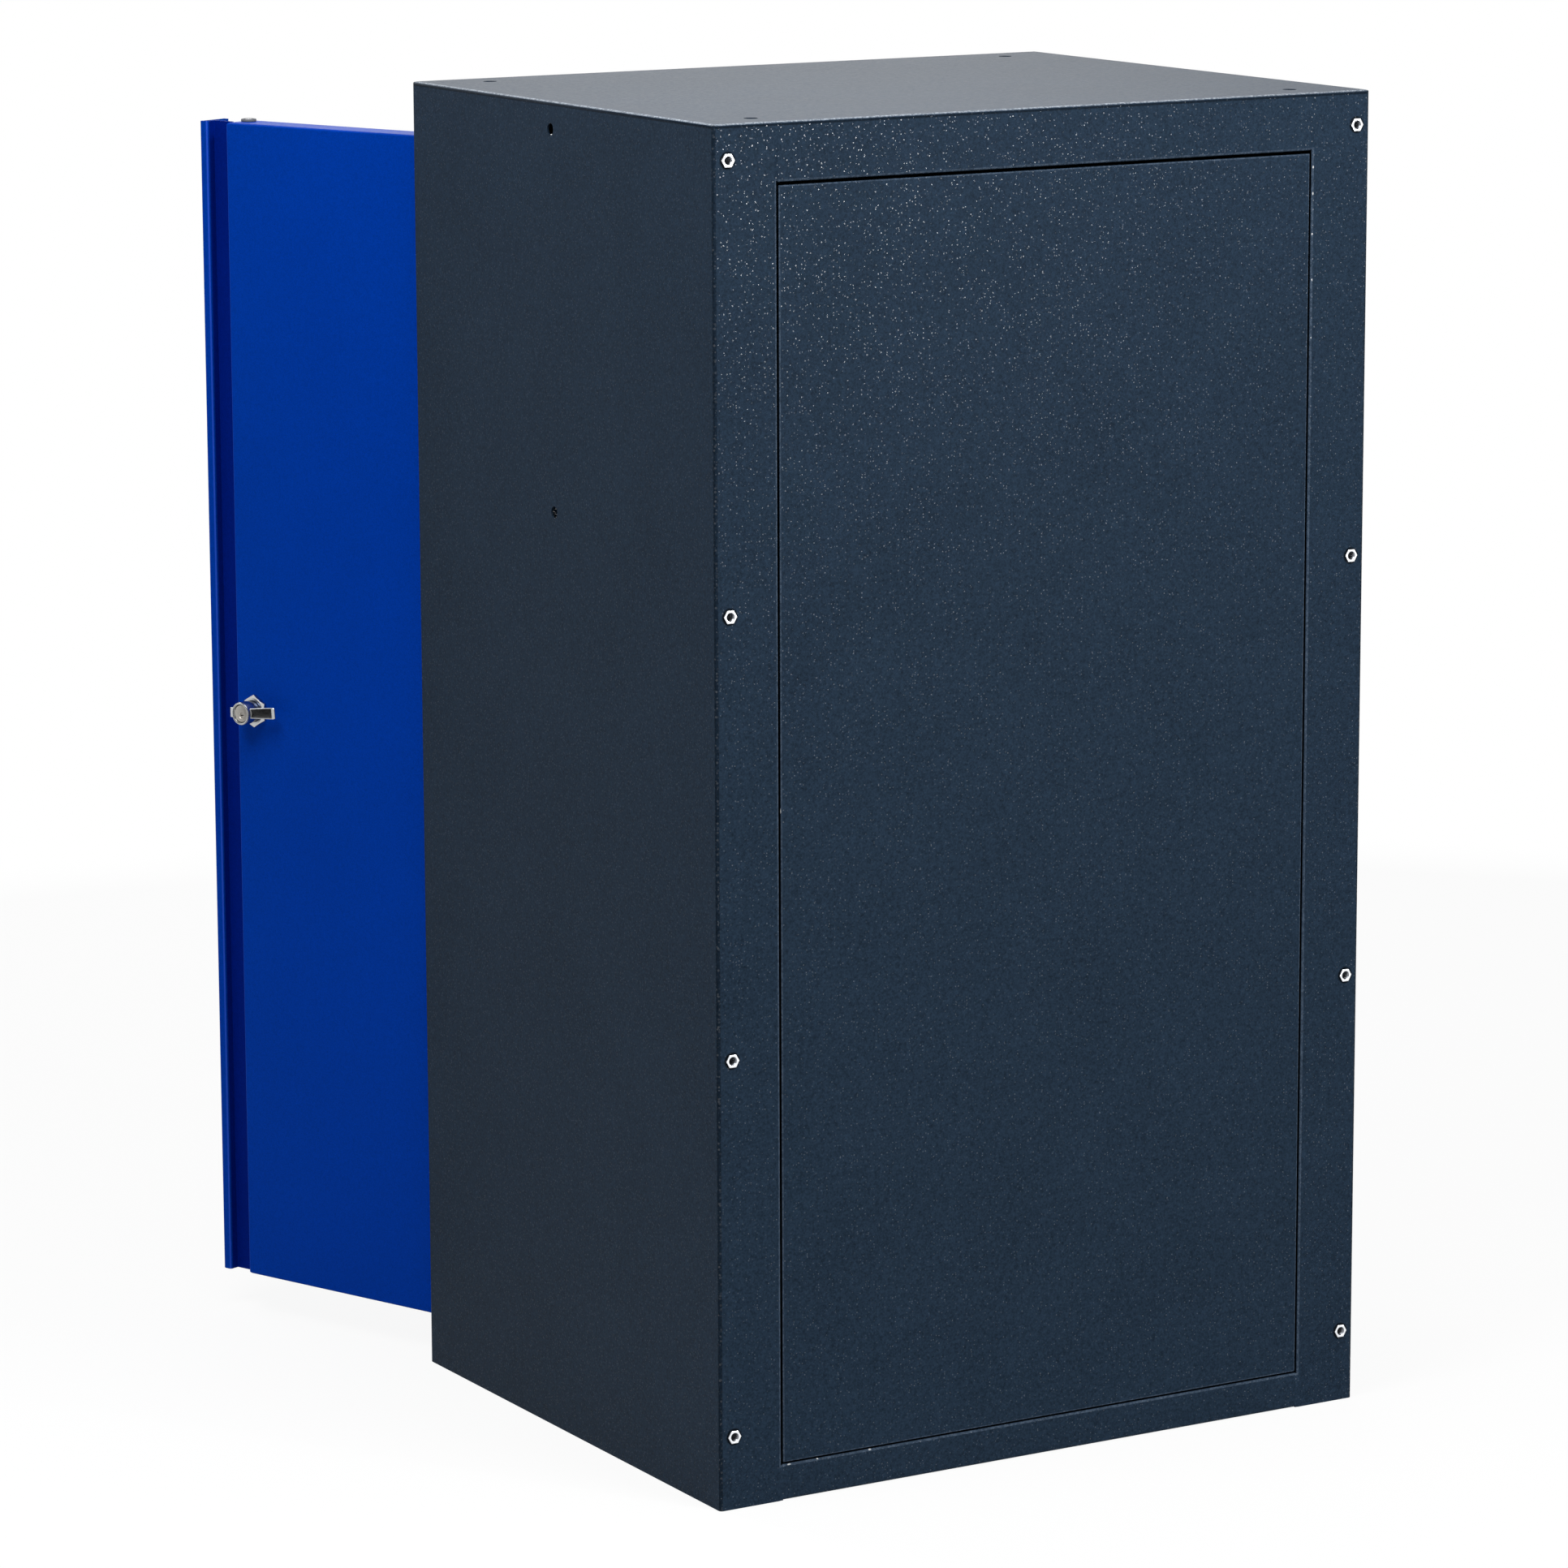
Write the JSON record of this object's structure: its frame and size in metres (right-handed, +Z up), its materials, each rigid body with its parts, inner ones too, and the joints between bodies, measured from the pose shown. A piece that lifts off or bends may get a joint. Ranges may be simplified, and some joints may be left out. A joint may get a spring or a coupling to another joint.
{
  "type": "workshop cabinet",
  "caption": "Upright sheet-steel workshop cabinet with folded hinged doors, a finger-grip channel, a key lever lock that drives rods, and shelves on slotted rails; the lock-side door is open.",
  "frame": {"origin": "middle of the underside of the base sheet, on the floor", "axes": "+Z up, -Y out of the door side, +X to the right seen from the doors, the side of the door with the lock"},
  "size_m": [0.4849, 0.5357, 0.77],
  "materials": {
    "body_paint": "fine textured powder coat, dark slate blue",
    "door_paint": "satin powder coat, strong blue",
    "zinc": "bright zinc plate",
    "chrome": "polished chrome plate",
    "plastic": "grey moulded plastic"
  },
  "bodies": {
    "carcass": {"outer_shell": "body_paint", "bottom_panel": "body_paint", "back_panel": "body_paint", "threaded_insert_left_1": "zinc", "threaded_insert_left_2": "zinc", "threaded_insert_left_3": "zinc", "threaded_insert_left_4": "zinc", "threaded_insert_right_1": "zinc", "threaded_insert_right_2": "zinc", "threaded_insert_right_3": "zinc", "threaded_insert_right_4": "zinc", "shelf_rail_right_front": "body_paint", "shelf_rail_left_front": "body_paint", "shelf_rail_right_rear": "body_paint", "shelf_rail_left_rear": "body_paint", "shelf_clip_1_right_front": "zinc", "shelf_clip_1_left_front": "zinc", "shelf_clip_1_right_rear": "zinc", "shelf_clip_1_left_rear": "zinc", "shelf_clip_2_right_front": "zinc", "shelf_clip_2_left_front": "zinc", "shelf_clip_2_right_rear": "zinc", "shelf_clip_2_left_rear": "zinc", "shelf_1": "body_paint", "shelf_2": "body_paint", "magnet_catch": "plastic", "pivot_bush_right_top": "plastic", "pivot_bush_left_top": "plastic", "pivot_bush_right_bottom": "plastic", "pivot_bush_left_bottom": "plastic", "rod_keeper_top": "zinc", "rod_keeper_bottom": "zinc"},
    "right_door": {"right_door_panel": "door_paint", "right_door_stiffener": "door_paint", "right_pivot_pin_top": "zinc", "right_pivot_pin_bottom": "zinc", "rod_guide_top": "plastic", "rod_guide_bottom": "plastic", "rod_bracket_top": "zinc", "rod_bracket_bottom": "zinc", "lock_collar": "chrome", "lock_housing": "chrome", "lock_nut": "zinc"},
    "left_door": {"left_door_panel": "door_paint", "left_door_stiffener": "door_paint", "overlap_strip": "door_paint", "catch_strike": "zinc", "left_pivot_pin_top": "zinc", "left_pivot_pin_bottom": "zinc"},
    "lock_lever": {"lever_handle": "chrome", "lock_cam": "zinc", "cam_screw": "zinc"},
    "key_cylinder": {"key_plug": "chrome"},
    "upper_rod": {"top_rod": "zinc"},
    "lower_rod": {"bottom_rod": "zinc"}
  },
  "joints": [
    {"name": "right_door_hinge", "type": "hinge", "parent": "carcass", "child": "right_door", "pos_m": [0.1898, -0.169, 0], "axis": [0, 0, 1], "range_deg": [-111.2, 0]},
    {"name": "left_door_hinge", "type": "hinge", "parent": "carcass", "child": "left_door", "pos_m": [-0.1898, -0.169, 0], "axis": [0, 0, -1], "range_deg": [0, 111.2]},
    {"name": "lock_turn", "type": "hinge", "parent": "right_door", "child": "lock_lever", "pos_m": [0.25427, -0.31861, 0.3805], "axis": [-0.9323, -0.3616, 0], "range_deg": [0, 90]},
    {"name": "key_turn", "type": "hinge", "parent": "lock_lever", "child": "key_cylinder", "pos_m": [0.25427, -0.31861, 0.3805], "axis": [-0.9323, -0.3616, 0], "range_deg": [0, 90]},
    {"name": "upper_rod_slide", "type": "slide", "parent": "right_door", "child": "upper_rod", "axis": [0, 0, 1], "range_m": [0, 0.01414]},
    {"name": "lower_rod_slide", "type": "slide", "parent": "right_door", "child": "lower_rod", "axis": [0, 0, -1], "range_m": [0, 0.01415]}
  ],
  "couplings": [
    {"joint": "lock_turn", "follows": "upper_rod_slide", "rad_per_m": 111.07},
    {"joint": "lower_rod_slide", "follows": "upper_rod_slide", "ratio": 1}
  ]
}
